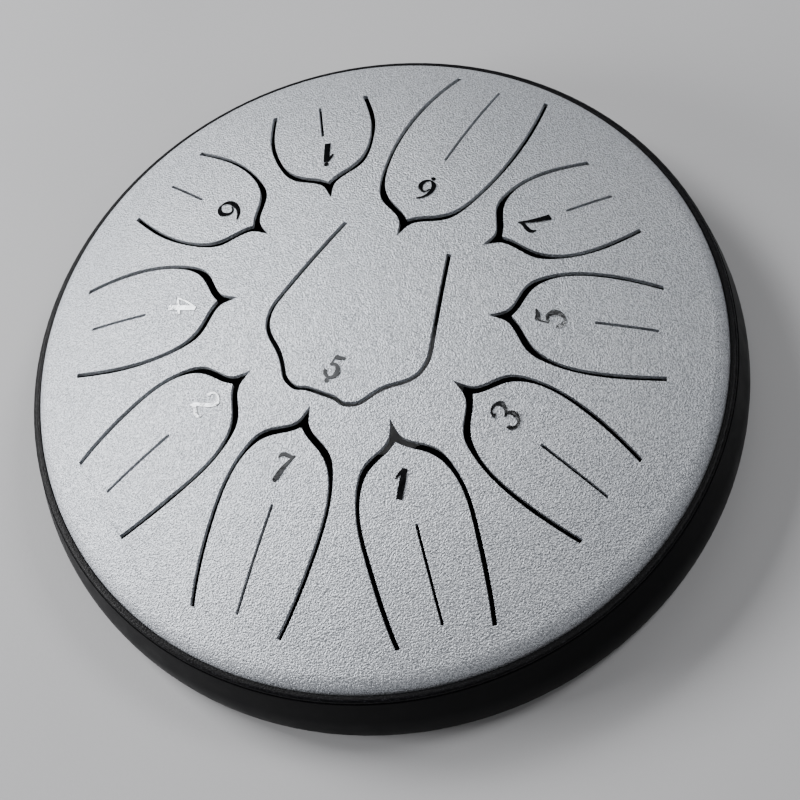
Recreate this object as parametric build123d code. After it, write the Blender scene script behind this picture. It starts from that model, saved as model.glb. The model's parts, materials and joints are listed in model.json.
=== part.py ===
"""Steel tongue drum with eleven notes.

A domed steel shell is pressed into a shallow steel bowl, and a rubber sleeve wraps the bowl and
stands on the table.  Slots cut through the dome leave eleven tongues: ten petals in a ring and a
broad one in the middle.  Each tongue is held at its root only, so it can bend and ring there.

Units are millimetres.  +Z is up.  The origin is the middle of the ring the drum stands on, and
-Y points to the player, at the tongue of note 1.
"""

import math
import os
from collections import namedtuple

from build123d import *

# Steel shell
SHEET = 1.2  # thickness of the silver pressing
SHELL_R = 77.0  # outside radius of the shell's skirt
CROWN_R = 151.0  # outside radius of the dome
KNUCKLE_R = 6.0  # outside radius of the bend from dome to skirt
KNUCKLE_Z = 17.0  # height where that bend meets the straight skirt
CROWN_Z = KNUCKLE_Z - math.sqrt((CROWN_R - KNUCKLE_R) ** 2 - (SHELL_R - KNUCKLE_R) ** 2)

# Black steel bowl
BOWL_SHEET = 1.5
LIP_TOP = 18.5  # height of the bowl's open edge, which shows below the dome
LIP_BOTTOM = 14.4  # the skirt stands on the step here
STEP = 1.2  # how far the bowl steps in below its lip
BOWL_FLOOR_Z = 3.5
BOWL_CORNER_R = 6.0
SOUND_HOLE_R = 18.0

# Rubber sleeve: radius and height of points down its bulging side, then the foot it ends in
SLEEVE_SIDE = ((78.75, 17.6), (79.9, 13.2), (80.8, 9.2), (81.1, 6.0), (80.95, 2.6))
FOOT_R = 80.3
FOOT_H = 2.6
FOOT_INNER_R = 72.0  # inner edge of the ring the drum stands on

# Slots and tongues
SLOT = 1.05  # width of the slot around a tongue
SLIT = 0.65  # width of the tuning slit along a tongue
ROOT_GAP = 0.012  # hairline at the root, so that the tongue can be a piece of its own
CUT_LOW = 10.0
CUT_HIGH = 50.0

# Foil numerals
FOIL = 0.15
DOT_R = 0.6
LOW_SCALE = 0.85  # a numeral with a dot under it is drawn smaller
DOTS = {(1, 1): (0.8, 3.6), (5, -1): (-0.2, -3.9), (6, -1): (-0.5, -4.1), (7, -1): (0.0, -3.8)}

# bearing: direction of the root from the drum's axis, in degrees.  skew: turn of the tongue away
# from the drum's axis.  root_r: radius of the root.  length: from the root to the slot's point.
# slit: where the tuning slit starts and ends.  numeral: how far the numeral's middle is from the
# slot's point and to the right, and its turn in degrees.  octave: -1 has a dot under the numeral,
# +1 a dot over it.
Petal = namedtuple(
    "Petal", "name digit octave bearing skew root_r length root_half belly_half slit numeral"
)
PETALS = (
    Petal("low_6", 6, -1, 51, 0.5, 70.0, 51.3, 10.9, 12.9, (1.5, 28.0), (13.7, -0.1, -5)),
    Petal("low_7", 7, -1, 233, 0, 68.1, 44.6, 10.1, 11.8, (1.5, 23.5), (13.3, -0.9, 9)),
    Petal("1", 1, 0, 270, -1.3, 69.5, 42.9, 10.0, 11.4, (2.2, 21.5), (13.3, -0.7, 11)),
    Petal("2", 2, 0, 196.6, 0.8, 67.1, 41.7, 10.3, 11.6, (2.2, 20.0), (11.8, -0.3, 0)),
    Petal("3", 3, 0, 307.3, 1.7, 65.1, 38.2, 10.5, 11.7, (0.8, 16.8), (12.6, 0.4, 0)),
    Petal("4", 4, 0, 160.6, 4.2, 65.4, 39.0, 10.7, 12.0, (2.7, 16.8), (13.1, -0.3, 0)),
    Petal("5", 5, 0, 342.6, 2.2, 63.5, 35.9, 10.6, 11.6, (1.2, 14.3), (12.6, -0.1, 0)),
    Petal("6", 6, 0, 123.9, 2.9, 64.3, 35.3, 10.8, 11.8, (1.3, 13.0), (12.9, -0.6, 0)),
    Petal("7", 7, 0, 15.2, 1.1, 62.0, 32.2, 10.5, 11.4, (0.6, 11.8), (13.0, -0.2, 0)),
    Petal("high_1", 1, 1, 87.6, -1.4, 62.0, 32.3, 10.7, 11.6, (1.0, 12.2), (14.0, -0.4, -6)),
)
BELLY_AT = 0.385  # the widest place of a petal, as a share of its length
POINT_DEPTH = 4.9  # from the petal's own tip to the point of its slot
# Shoulders of a petal and of the hole around it, the same on all ten: distance back from the
# slot's point, then half the width there.
PETAL_SHOULDER = ((16, 10.4), (12, 8.9), (10, 7.5), (8, 4.95), (6, 1.35))
HOLE_SHOULDER = ((16, 11.4), (12, 10.2), (10, 9.3), (8, 7.8), (6, 4.5), (4, 1.5))

# Middle tongue, low 5
MIDDLE_BEARING = 49.3
MIDDLE_HEADING = 232.6
MIDDLE_ROOT_R = 18.5
MIDDLE_ROOT_HALF = 12.2
# Half its outline, from the end of its straight side to the middle of its nose
MIDDLE_NOSE = (
    (22, 17.8),
    (26, 18.1),
    (29.2, 16.9),
    (33, 12.6),
    (36.5, 9.8),
    (38.7, 7.8),
    (39.4, 5.2),
    (38.8, 0),
)
MIDDLE_NUMERAL = (32.7, 0.4, 0)  # distance from the root, to the right, and turn

# Each numeral is drawn with broad-nib strokes about its own middle: points of the stroke's middle
# line, then the nib's width at each of them.
NUMERALS = {
    1: (
        (((-0.85, -3.05), (-0.05, 0.1), (0.65, 2.95)), (1.35, 1.35, 1.2)),
        (((0.75, 2.9), (-0.35, 2.1), (-1.35, 0.95)), (0.5, 0.75, 0.35)),
    ),
    2: (
        (
            ((-0.9, 1.3), (-1.0, 2.2), (0.3, 3.0), (1.6, 2.1), (0.9, 0.4), (-1.7, -2.6)),
            (1.0, 0.6, 0.5, 1.2, 0.9, 0.4),
        ),
        (((-2.0, -2.9), (-0.9, -2.3), (0.5, -2.9), (1.5, -2.7), (1.7, -1.8)), (0.4, 0.8, 1, 0.6, 0.3)),
    ),
    3: (
        (
            ((-1.3, 1.4), (-1.4, 2.2), (0.2, 2.95), (1.5, 1.9), (0.9, 0.5), (-0.3, 0.0)),
            (1.0, 0.7, 0.6, 1.1, 0.8, 0.4),
        ),
        (
            ((-0.3, 0.0), (1.1, -0.4), (1.4, -1.7), (0.2, -2.95), (-1.4, -2.4), (-1.4, -1.7)),
            (0.4, 0.8, 1.2, 0.6, 0.9, 1.0),
        ),
    ),
    4: (
        (((1.4, 3.3), (-0.6, 1.1), (-2.1, -1.4)), (0.6, 0.5, 0.5)),
        (((-2.3, -1.5), (0.0, -1.0), (2.1, -0.6)), (0.5, 0.7, 0.6)),
        (((1.4, 3.3), (0.6, 0.0), (-0.1, -3.4)), (1.0, 1.3, 1.3)),
    ),
    5: (
        (((-0.4, 2.9), (-0.7, 1.5), (-0.9, 0.1)), (0.4, 0.4, 0.5)),
        (((-0.5, 2.6), (0.9, 2.5), (2.0, 2.9)), (1.1, 1.0, 0.4)),
        (
            ((-0.9, 0.1), (0.4, 0.5), (1.45, -1.1), (0.4, -2.95), (-1.3, -2.4), (-1.5, -1.3)),
            (0.5, 0.9, 1.4, 0.7, 0.9, 0.9),
        ),
    ),
    6: (
        (
            ((1.3, 3.3), (-0.5, 2.2), (-1.5, 0.4), (-1.5, -1.9), (-0.1, -3.25)),
            (0.4, 0.8, 1.1, 1.2, 0.4),
        ),
        (
            ((-0.1, -3.25), (1.3, -2.5), (1.7, -0.8), (0.6, 0.6), (-0.9, -0.6)),
            (0.4, 1.0, 1.2, 0.7, 0.3),
        ),
    ),
    7: (
        (
            ((-1.7, 1.1), (-1.4, 2.2), (-0.4, 2.6), (0.8, 2.65), (1.8, 3.4)),
            (0.3, 0.9, 1.05, 0.9, 0.3),
        ),
        (((1.7, 3.2), (0.75, 0.5), (0.1, -3.5)), (0.3, 1.0, 1.45)),
    ),
}


def turned(outline):
    """Turn a closed outline in the XZ plane about the drum's axis."""
    face = make_face(Plane.XZ * outline)
    return revolve(face, Axis.Z).solid()


def dome_outline(inset):
    """Half section of the dome, its knuckle and its skirt, lying inset below the outer surface."""
    knuckle = (SHELL_R - KNUCKLE_R, KNUCKLE_Z)
    lean = math.asin(knuckle[0] / (CROWN_R - KNUCKLE_R))
    crown_r = CROWN_R - inset
    knuckle_r = KNUCKLE_R - inset
    join = (crown_r * math.sin(lean), CROWN_Z + crown_r * math.cos(lean))
    crown_mid = (crown_r * math.sin(lean / 2), CROWN_Z + crown_r * math.cos(lean / 2))
    bend = (lean + math.pi / 2) / 2
    bend_mid = (knuckle[0] + knuckle_r * math.sin(bend), KNUCKLE_Z + knuckle_r * math.cos(bend))
    side = SHELL_R - inset
    crown = ThreePointArc((0, CROWN_Z + crown_r), crown_mid, join)
    corner = ThreePointArc(join, bend_mid, (side, KNUCKLE_Z))
    skirt = Line((side, KNUCKLE_Z), (side, LIP_BOTTOM))
    return crown + corner + skirt


def plain_dome():
    """The pressed dome before anything is cut from it."""
    top = Line((0, CROWN_Z + CROWN_R - SHEET), (0, CROWN_Z + CROWN_R))
    edge = Line((SHELL_R - SHEET, LIP_BOTTOM), (SHELL_R, LIP_BOTTOM))
    return turned(dome_outline(0) + edge + dome_outline(SHEET) + top)


def beside(path, distance, steps):
    """Points at even steps along a path, moved sideways by distance."""
    points = []
    for step in range(steps + 1):
        along = step / steps
        tangent = path % along
        points.append(path @ along + Vector(-tangent.Y, tangent.X) * distance)
    return points


def mirrored_face(half):
    """Face between half an outline, its mirror image in the X axis, and the line across its root."""
    other = mirror(half, Plane.XZ)
    root = Line(half @ 0, other @ 0)
    return make_face(half + other + root)


def petal_face(petal, distance, shoulder, tip, tip_slope):
    """Outline of a petal, or of its hole, at a distance from the middle line of the slot."""
    belly_at = BELLY_AT * petal.length
    rise = 2 * (petal.belly_half - petal.root_half) / belly_at
    side = [(petal.length - back, half) for back, half in shoulder]
    half = Spline(
        (0, petal.root_half + distance),
        (belly_at, petal.belly_half + distance),
        *side,
        (petal.length - tip, 0),
        tangents=((1, rise), (1, -tip_slope)),
    )
    return mirrored_face(half)


def petal_faces(petal):
    """A petal's own outline, and the outline of the hole it sits in."""
    tongue = petal_face(petal, -SLOT / 2, PETAL_SHOULDER, POINT_DEPTH, 1.2)
    hole = petal_face(petal, SLOT / 2, HOLE_SHOULDER, 0, 0.35)
    return tongue, hole


def middle_half(distance):
    """Half the edge of the middle tongue, at a distance from the middle line of its slot."""
    side = Line((0, MIDDLE_ROOT_HALF), MIDDLE_NOSE[0])
    nose = Spline(*MIDDLE_NOSE, tangents=(side % 1, (0, -1)))
    corner = beside(side, distance, 1)[1]
    return Line((0, MIDDLE_ROOT_HALF + distance), corner) + Spline(*beside(nose, distance, 16))


def stroke(points, widths):
    """One stroke of a broad nib, as a face."""
    spine = Spline(*points)
    left = []
    right = []
    for point, width in zip(points, widths):
        tangent = spine % spine.param_at_point(Vector(*point))
        across = Vector(-tangent.Y, tangent.X) * (width / 2)
        left.append(Vector(*point) + across)
        right.append(Vector(*point) - across)
    sides = Spline(*left) + Spline(*right)
    return make_face(sides + Line(left[0], right[0]) + Line(left[-1], right[-1]))


def numeral_face(digit, octave):
    """A numeral with its octave dot, standing along +X about its own middle."""
    ink = Sketch()
    for points, widths in NUMERALS[digit]:
        ink += stroke(points, widths)
    if octave:
        ink += Pos(*DOTS[digit, octave]) * Circle(DOT_R)
    if octave < 0:
        ink = scale(ink, LOW_SCALE)
    return Rot(0, 0, -90) * ink


def root_plane(bearing, heading, root_r):
    """Level plane at the middle of a tongue's root, with X running along the tongue."""
    bearing = math.radians(bearing)
    heading = math.radians(heading)
    origin = (root_r * math.cos(bearing), root_r * math.sin(bearing), CUT_LOW)
    return Plane(origin, x_dir=(math.cos(heading), math.sin(heading), 0), z_dir=(0, 0, 1))


def petal_plane(petal):
    return root_plane(petal.bearing, petal.bearing + 180 + petal.skew, petal.root_r)


def middle_plane():
    return root_plane(MIDDLE_BEARING, MIDDLE_HEADING, MIDDLE_ROOT_R)


def through(plane, face):
    """Upright prism through the dome."""
    return extrude(plane * face, CUT_HIGH - CUT_LOW)


def petal_slit(petal):
    """Tuning slit with round ends."""
    start, end = petal.slit
    return Pos((start + end) / 2, 0) * SlotOverall(end - start, SLIT)


def make_tongue(dome, plane, outline, slit=None):
    tongue = dome & through(plane * Pos(ROOT_GAP, 0), outline)
    if slit:
        tongue -= through(plane, slit)
    return tongue


def make_numeral(plane, along, aside, turn, ink):
    """Metal foil numeral lying on the dome."""
    centre = Pos(0, 0, CROWN_Z)
    foil = centre * Sphere(CROWN_R + FOIL) - centre * Sphere(CROWN_R)
    return foil & through(plane, Pos(along, -aside) * Rot(0, 0, -turn) * ink)


def bowl_side(inset):
    """Half section of one face of the bowl, from its lip down to the middle of its floor."""
    lip_r = SHELL_R + BOWL_SHEET - inset
    wall_r = lip_r - STEP
    floor_z = BOWL_FLOOR_Z + inset
    corner_r = BOWL_CORNER_R - inset
    step_low = LIP_BOTTOM - STEP
    corner_low = BOWL_FLOOR_Z + BOWL_CORNER_R
    turn = corner_r * math.sin(math.pi / 4)
    centre_r = wall_r - corner_r
    lip = Line((lip_r, LIP_TOP), (lip_r, LIP_BOTTOM))
    step = Line((lip_r, LIP_BOTTOM), (wall_r, step_low))
    wall = Line((wall_r, step_low), (wall_r, corner_low))
    corner = ThreePointArc(
        (wall_r, corner_low), (centre_r + turn, corner_low - turn), (centre_r, floor_z)
    )
    floor = Line((centre_r, floor_z), (SOUND_HOLE_R, floor_z))
    return lip + step + wall + corner + floor


def make_bowl():
    """Bottom bowl: a lip around the shell's skirt, a straight wall and a floor with a sound hole."""
    lip = Line((SHELL_R, LIP_TOP), (SHELL_R + BOWL_SHEET, LIP_TOP))
    hole = Line((SOUND_HOLE_R, BOWL_FLOOR_Z), (SOUND_HOLE_R, BOWL_FLOOR_Z + BOWL_SHEET))
    bowl = turned(bowl_side(0) + hole + bowl_side(BOWL_SHEET) + lip)
    rim = bowl.edges().filter_by(GeomType.CIRCLE).group_by(Axis.Z)[-1].sort_by(SortBy.RADIUS)[-1]
    return fillet(rim, BOWL_SHEET / 2)


def make_sleeve():
    """Bulging rubber sleeve around the bowl, with a foot that turns in below it."""
    top = SLEEVE_SIDE[0][1]
    side = Spline(*SLEEVE_SIDE)
    foot = Polyline(SLEEVE_SIDE[-1], (FOOT_R, FOOT_H), (FOOT_R, 0), (FOOT_INNER_R, 0))
    closing = Polyline((FOOT_INNER_R, 0), (FOOT_INNER_R, top), SLEEVE_SIDE[0])
    block = turned(side + foot + closing)
    seat = bowl_side(0)
    core = Polyline((SOUND_HOLE_R, BOWL_FLOOR_Z), (0, BOWL_FLOOR_Z), (0, LIP_TOP), seat @ 0)
    sleeve = block - turned(seat + core)
    rings = sleeve.edges().filter_by(GeomType.CIRCLE).group_by(Axis.Z)[0]
    return sleeve.fillet(FOOT_H / 4, [rings.sort_by(SortBy.RADIUS)[-1]])


def save(name, shape):
    shape.label = name
    export_step(shape, "parts/" + name + ".step")


def main():
    os.makedirs("parts", exist_ok=True)
    dome = plain_dome()
    shell = dome
    for petal in PETALS:
        plane = petal_plane(petal)
        outline, hole = petal_faces(petal)
        shell -= through(plane, hole)
        save("tongue_" + petal.name, make_tongue(dome, plane, outline, petal_slit(petal)))
        back, aside, turn = petal.numeral
        ink = numeral_face(petal.digit, petal.octave)
        save("numeral_" + petal.name, make_numeral(plane, petal.length - back, aside, turn, ink))
    plane = middle_plane()
    shell -= through(plane, mirrored_face(middle_half(SLOT / 2)))
    outline = mirrored_face(middle_half(-SLOT / 2))
    save("tongue_low_5", make_tongue(dome, plane, outline))
    along, aside, turn = MIDDLE_NUMERAL
    ink = numeral_face(5, -1)
    save("numeral_low_5", make_numeral(plane, along, -aside, turn + 180, ink))
    save("top_shell", shell)
    save("bottom_bowl", make_bowl())
    save("rubber_sleeve", make_sleeve())


main()
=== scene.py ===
"""Looks of the steel tongue drum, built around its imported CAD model."""

import json
import math

import bpy
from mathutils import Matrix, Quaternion, Vector

MM = 0.001

# Camera at the photograph's angle, in metres
CAMERA_AT = (0.0214, -0.1880, 0.3585)
CAMERA_AIM = (0.0027, -0.0116, 0.0170)
CAMERA_ROLL = math.radians(-21.46)
CAMERA_NEAR = 0.01
LENS_MM = 79.5
SENSOR_MM = 36

# Soft boxes: name, place in metres, side in metres, power in watts
LIGHTS = (
    ("key", (-0.56, 0.54, 0.71), 0.4, 12),
    ("left", (-1.0, 0.1, 0.4), 0.4, 10),
    ("right", (0.62, 0.1, 0.95), 0.3, 4),
    ("back", (0.13, 0.55, 0.95), 0.5, 1),
    ("front", (0.3, -0.6, 1.0), 0.5, 2),
    ("over", (-0.3, 0.2, 1.05), 0.5, 0.6),
)
LIGHT_AIM = (0, 0, 20 * MM)

WORLD_COLOUR = (0.9, 0.93, 1.0)
WORLD_STRENGTH = 0.03

FLOOR_SIDE = 3.0
FLOOR_DROP = 0.1 * MM  # keeps the paper clear of the foot's underside

# Linear base colours
SILVER_DARK = (0.67, 0.70, 0.75)
SILVER_LIGHT = (0.71, 0.735, 0.78)
# Painted shade: colour for the low points of the silver coat's grain bump
SILVER_PIT_SHADE = (0.37, 0.39, 0.425)
BLACK = (0.002, 0.002, 0.0025)
# Painted highlight: colour of the fine glints on the black coat's grain peaks
BLACK_GLINT = (0.025, 0.025, 0.03)
RUBBER = (0.0015, 0.0015, 0.002)
RUBBER_DUST = (0.004, 0.004, 0.005)
FOIL_DARK = (0.13, 0.134, 0.14)
FOIL_LIGHT = (0.18, 0.186, 0.195)
PAPER_DARK = (0.39, 0.39, 0.40)
PAPER_LIGHT = (0.42, 0.42, 0.43)

# Most values of a noise lie between the first pair; the closer pair gives clouds more contrast
NOISE_LOW, NOISE_HIGH = 0.3, 0.7
CLOUD_LOW, CLOUD_HIGH = 0.35, 0.65

BEVEL_SAMPLES = 6

# Colour sockets of a Mix node: its two inputs and its output
MIX_A, MIX_B, MIX_RESULT = 6, 7, 2


# Node helpers ---------------------------------------------------------------------------------


class Nodes:
    """A material's node tree with short ways to add and join nodes."""

    def __init__(self, name):
        self.material = bpy.data.materials.new(name)
        self.material.use_nodes = True
        self.tree = self.material.node_tree
        self.tree.nodes.clear()
        self.shader = self.add("ShaderNodeBsdfPrincipled")
        output = self.add("ShaderNodeOutputMaterial")
        self.join(self.shader.outputs["BSDF"], output.inputs["Surface"])
        self.place = self.add("ShaderNodeTexCoord").outputs["Object"]

    def add(self, kind, **settings):
        node = self.tree.nodes.new(kind)
        for key, value in settings.items():
            setattr(node, key, value)
        return node

    def join(self, source, target):
        self.tree.links.new(source, target)

    def noise(self, size, detail, roughness=0.5):
        """Noise whose lumps are about size metres across."""
        node = self.add("ShaderNodeTexNoise")
        self.join(self.place, node.inputs["Vector"])
        node.inputs["Scale"].default_value = 1 / size
        node.inputs["Detail"].default_value = detail
        node.inputs["Roughness"].default_value = roughness
        return node.outputs["Fac"]

    def remap(self, source, low, high, out_low, out_high):
        """Source stretched from low..high to out_low..out_high, and held at the ends."""
        node = self.add("ShaderNodeMapRange")
        self.join(source, node.inputs["Value"])
        node.inputs["From Min"].default_value = low
        node.inputs["From Max"].default_value = high
        node.inputs["To Min"].default_value = out_low
        node.inputs["To Max"].default_value = out_high
        return node.outputs["Result"]

    def rise(self, source, low=CLOUD_LOW, high=CLOUD_HIGH):
        """Mask that is 0 where source is under low and 1 where it is over high."""
        return self.remap(source, low, high, 0.0, 1.0)

    def fall(self, source, low, high):
        """Mask that is 1 where source is under low and 0 where it is over high."""
        return self.remap(source, low, high, 1.0, 0.0)

    def spread(self, source, smooth, rough):
        """Roughness that follows a noise from smooth to rough."""
        return self.remap(source, NOISE_LOW, NOISE_HIGH, smooth, rough)

    def blend(self, mask, start, end):
        """Colour that goes from start, where the mask is 0, to end, where it is 1."""
        node = self.add("ShaderNodeMix", data_type="RGBA")
        self.join(mask, node.inputs["Factor"])
        for socket, colour in ((node.inputs[MIX_A], start), (node.inputs[MIX_B], end)):
            if isinstance(colour, tuple):
                socket.default_value = (*colour, 1)
            else:
                self.join(colour, socket)
        return node.outputs[MIX_RESULT]

    def rounded(self, radius):
        """Normal that rounds every sharp edge over by radius."""
        node = self.add("ShaderNodeBevel", samples=BEVEL_SAMPLES)
        node.inputs["Radius"].default_value = radius
        return node.outputs["Normal"]

    def bump(self, height, depth, below=None):
        """Bump of a height map, where a height of 1 stands depth metres proud."""
        node = self.add("ShaderNodeBump")
        self.join(height, node.inputs["Height"])
        node.inputs["Strength"].default_value = 1.0
        node.inputs["Distance"].default_value = depth
        if below:
            self.join(below, node.inputs["Normal"])
        return node.outputs["Normal"]

    def finish(self, colour, roughness, normal, **constants):
        """Join the shader's main inputs, set its constants and give the material."""
        self.join(colour, self.shader.inputs["Base Color"])
        self.join(roughness, self.shader.inputs["Roughness"])
        self.join(normal, self.shader.inputs["Normal"])
        for key, value in constants.items():
            self.shader.inputs[key].default_value = value
        return self.material


# Materials ------------------------------------------------------------------------------------


def silver_coat():
    """Fine-grained silver powder coat, with painted shade in the low points of its grain bump.
    """
    nodes = Nodes("silver_coat_look")
    grain = nodes.noise(size=0.36 * MM, detail=1)
    peel = nodes.noise(size=1.3 * MM, detail=1)
    cloud = nodes.noise(size=30 * MM, detail=2)
    base = nodes.blend(nodes.rise(cloud), SILVER_DARK, SILVER_LIGHT)
    # Painted shade: where the grain bump dips, the colour darkens towards the pit shade colour
    pit_shade = nodes.fall(grain, low=0.36, high=0.58)
    colour = nodes.blend(pit_shade, base, SILVER_PIT_SHADE)
    roughness = nodes.spread(grain, smooth=0.42, rough=0.52)
    normal = nodes.bump(peel, depth=0.03 * MM, below=nodes.rounded(radius=0.15 * MM))
    normal = nodes.bump(grain, depth=0.34 * MM, below=normal)
    return nodes.finish(colour, roughness, normal, Metallic=0.7, IOR=1.5)


def black_coat():
    """Textured satin black powder coat, with fine painted glints on the peaks of its grain."""
    nodes = Nodes("black_coat_look")
    peel = nodes.noise(size=0.5 * MM, detail=2)
    grain = nodes.noise(size=0.25 * MM, detail=1)
    # Painted highlight: where the grain bump peaks, the colour lightens into small glints
    colour = nodes.blend(nodes.rise(grain, low=0.60, high=0.70), BLACK, BLACK_GLINT)
    roughness = nodes.spread(peel, smooth=0.30, rough=0.46)
    normal = nodes.bump(grain, depth=0.03 * MM, below=nodes.rounded(radius=0.3 * MM))
    normal = nodes.bump(peel, depth=0.08 * MM, below=normal)
    return nodes.finish(colour, roughness, normal, IOR=1.22)


def black_rubber():
    """Smooth moulded rubber with faint dust and an uneven sheen."""
    nodes = Nodes("black_rubber_look")
    cloud = nodes.noise(size=6 * MM, detail=4, roughness=0.6)
    grain = nodes.noise(size=0.35 * MM, detail=2)
    colour = nodes.blend(nodes.rise(cloud, low=0.50, high=0.78), RUBBER, RUBBER_DUST)
    roughness = nodes.spread(cloud, smooth=0.36, rough=0.46)
    normal = nodes.bump(grain, depth=0.008 * MM, below=nodes.rounded(radius=0.2 * MM))
    return nodes.finish(colour, roughness, normal, IOR=1.12)


def foil():
    """Dark polished metal foil with rounded edges."""
    nodes = Nodes("foil_look")
    cloud = nodes.noise(size=2.5 * MM, detail=2)
    crease = nodes.noise(size=0.9 * MM, detail=2)
    colour = nodes.blend(nodes.rise(cloud), FOIL_DARK, FOIL_LIGHT)
    roughness = nodes.spread(crease, smooth=0.10, rough=0.18)
    normal = nodes.bump(crease, depth=0.04 * MM, below=nodes.rounded(radius=0.13 * MM))
    return nodes.finish(colour, roughness, normal, Metallic=1.0)


def floor_paper():
    """Pale matte studio paper."""
    nodes = Nodes("floor_paper")
    cloud = nodes.noise(size=120 * MM, detail=2)
    fibre = nodes.noise(size=0.7 * MM, detail=3)
    colour = nodes.blend(nodes.rise(cloud), PAPER_DARK, PAPER_LIGHT)
    roughness = nodes.spread(fibre, smooth=0.62, rough=0.72)
    normal = nodes.bump(fibre, depth=0.02 * MM)
    return nodes.finish(colour, roughness, normal)


# Object ---------------------------------------------------------------------------------------


def dress(frame):
    """Give every CAD node the look of its material slot."""
    looks = {
        "silver_coat": silver_coat(),
        "black_coat": black_coat(),
        "black_rubber": black_rubber(),
        "foil": foil(),
    }
    for part in frame["record"]["subparts"]:
        node = frame["nodes"][part["node"]]
        node.data.materials.clear()
        node.data.materials.append(looks[part["material_slot"]])


# Studio ---------------------------------------------------------------------------------------


def add_facing(name, data, place, aim, roll=0.0):
    """Add an object that looks from place at aim, rolled about its line of sight."""
    item = bpy.data.objects.new(name, data)
    item.location = place
    item.rotation_mode = "QUATERNION"
    level = (Vector(aim) - Vector(place)).to_track_quat("-Z", "Y")
    item.rotation_quaternion = level @ Quaternion((0, 0, 1), roll)
    bpy.context.collection.objects.link(item)
    return item


def add_floor():
    """Square sheet of paper under the drum."""
    side = FLOOR_SIDE / 2
    corners = [(-side, -side), (side, -side), (side, side), (-side, side)]
    mesh = bpy.data.meshes.new("floor")
    mesh.from_pydata([(x, y, -FLOOR_DROP) for x, y in corners], [], [(0, 1, 2, 3)])
    mesh.materials.append(floor_paper())
    floor = bpy.data.objects.new("floor", mesh)
    bpy.context.collection.objects.link(floor)


def add_world():
    """Faint cool light from all round."""
    world = bpy.data.worlds.new("studio")
    world.use_nodes = True
    background = world.node_tree.nodes["Background"]
    background.inputs["Color"].default_value = (*WORLD_COLOUR, 1)
    background.inputs["Strength"].default_value = WORLD_STRENGTH
    bpy.context.scene.world = world


def add_light(name, place, side, power):
    """Square soft box that faces the drum."""
    data = bpy.data.lights.new(name, "AREA")
    data.shape = "SQUARE"
    data.size = side
    data.energy = power
    add_facing(name, data, place, LIGHT_AIM)


def add_camera():
    """Camera at the photograph's angle."""
    data = bpy.data.cameras.new("camera")
    data.lens = LENS_MM
    data.sensor_width = SENSOR_MM
    data.clip_start = CAMERA_NEAR
    bpy.context.scene.camera = add_facing("camera", data, CAMERA_AT, CAMERA_AIM, CAMERA_ROLL)


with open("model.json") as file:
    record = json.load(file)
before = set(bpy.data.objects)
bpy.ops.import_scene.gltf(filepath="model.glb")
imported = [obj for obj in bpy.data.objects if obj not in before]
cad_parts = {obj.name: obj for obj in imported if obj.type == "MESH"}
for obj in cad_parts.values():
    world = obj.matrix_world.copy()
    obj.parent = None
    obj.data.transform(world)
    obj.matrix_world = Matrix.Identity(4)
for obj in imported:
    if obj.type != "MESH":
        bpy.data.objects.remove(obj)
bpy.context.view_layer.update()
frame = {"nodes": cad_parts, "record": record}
dress(frame)
add_floor()
add_world()
for light in LIGHTS:
    add_light(*light)
add_camera()
